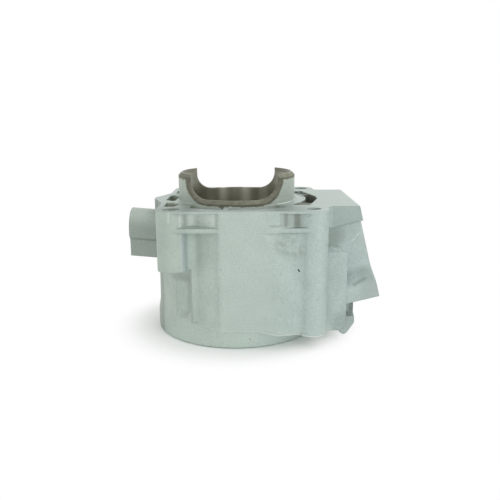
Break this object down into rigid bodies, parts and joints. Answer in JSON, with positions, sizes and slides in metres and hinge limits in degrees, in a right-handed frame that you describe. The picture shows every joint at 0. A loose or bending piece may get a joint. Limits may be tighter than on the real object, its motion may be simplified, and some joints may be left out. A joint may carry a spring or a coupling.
{
  "type": "engine cylinder",
  "caption": "Liquid-cooled two-stroke engine cylinder casting with plated bore, notched crankcase spigot, exhaust stub and leaning intake flange.",
  "frame": {"origin": "bore axis on the head gasket face, which the casting stands on", "axes": "+Z along the bore towards the crankcase spigot, +X towards the intake flange, -X towards the exhaust stub"},
  "size_m": [0.1662, 0.12, 0.1078],
  "materials": {
    "cast_aluminium": "bead-blasted casting, plated bore"
  },
  "bodies": {
    "root": {"cylinder_casting": "cast_aluminium"}
  },
  "joints": []
}
